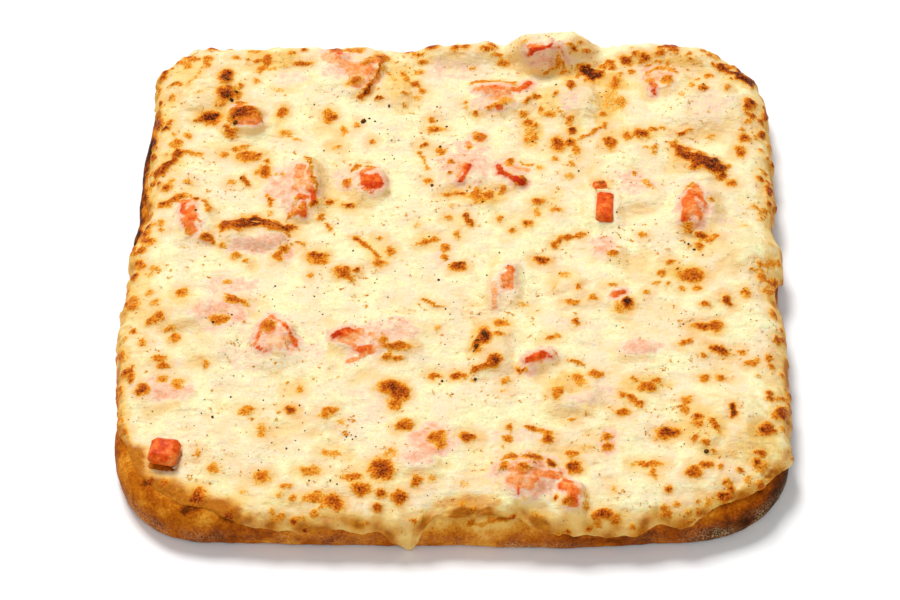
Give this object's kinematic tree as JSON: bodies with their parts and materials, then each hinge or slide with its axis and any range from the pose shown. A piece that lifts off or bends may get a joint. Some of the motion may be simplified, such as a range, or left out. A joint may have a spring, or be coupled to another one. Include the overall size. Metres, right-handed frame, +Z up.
{
  "type": "caesar pizza",
  "caption": "Square thick-crust pizza with rounded corners, a browned cheese blanket over the side and diced tomato sunk in it.",
  "frame": {"origin": "middle of the flat underside, at the surface that the pizza rests on", "axes": "+Z up out of the cheese, +X to the right and -Y towards the front edge with the cheese drip"},
  "size_m": [0.2535, 0.2581, 0.0337],
  "materials": {
    "baked_bread": "browned oven-baked bread, matt, floury low on the side",
    "melted_cheese": "melted cheese, pale cream with golden and burnt spots, satin",
    "roasted_tomato": "moist roasted tomato flesh and skin"
  },
  "bodies": {
    "root": {"cheese": "melted_cheese", "crust": "baked_bread", "tomato_arc_corner": "roasted_tomato", "tomato_arc_slice": "roasted_tomato", "tomato_arched_strip": "roasted_tomato", "tomato_back_shred": "roasted_tomato", "tomato_back_slice": "roasted_tomato", "tomato_bright_cap": "roasted_tomato", "tomato_bright_dice": "roasted_tomato", "tomato_centre_chip": "roasted_tomato", "tomato_centre_square": "roasted_tomato", "tomato_corner_cube": "roasted_tomato", "tomato_dice_chip": "roasted_tomato", "tomato_front_corner": "roasted_tomato", "tomato_front_lobe": "roasted_tomato", "tomato_front_slice": "roasted_tomato", "tomato_hook_strip": "roasted_tomato", "tomato_left_chip": "roasted_tomato", "tomato_left_strip": "roasted_tomato", "tomato_left_wedge": "roasted_tomato", "tomato_long_slice": "roasted_tomato", "tomato_lower_slice": "roasted_tomato", "tomato_middle_sliver": "roasted_tomato", "tomato_middle_strip": "roasted_tomato", "tomato_orange_dice": "roasted_tomato", "tomato_right_chip": "roasted_tomato", "tomato_right_wedge": "roasted_tomato", "tomato_rim_dice": "roasted_tomato", "tomato_rim_round": "roasted_tomato", "tomato_rim_strip": "roasted_tomato", "tomato_roasted_dice": "roasted_tomato", "tomato_round_dice": "roasted_tomato", "tomato_small_dice": "roasted_tomato", "tomato_thin_strip": "roasted_tomato"}
  },
  "joints": []
}
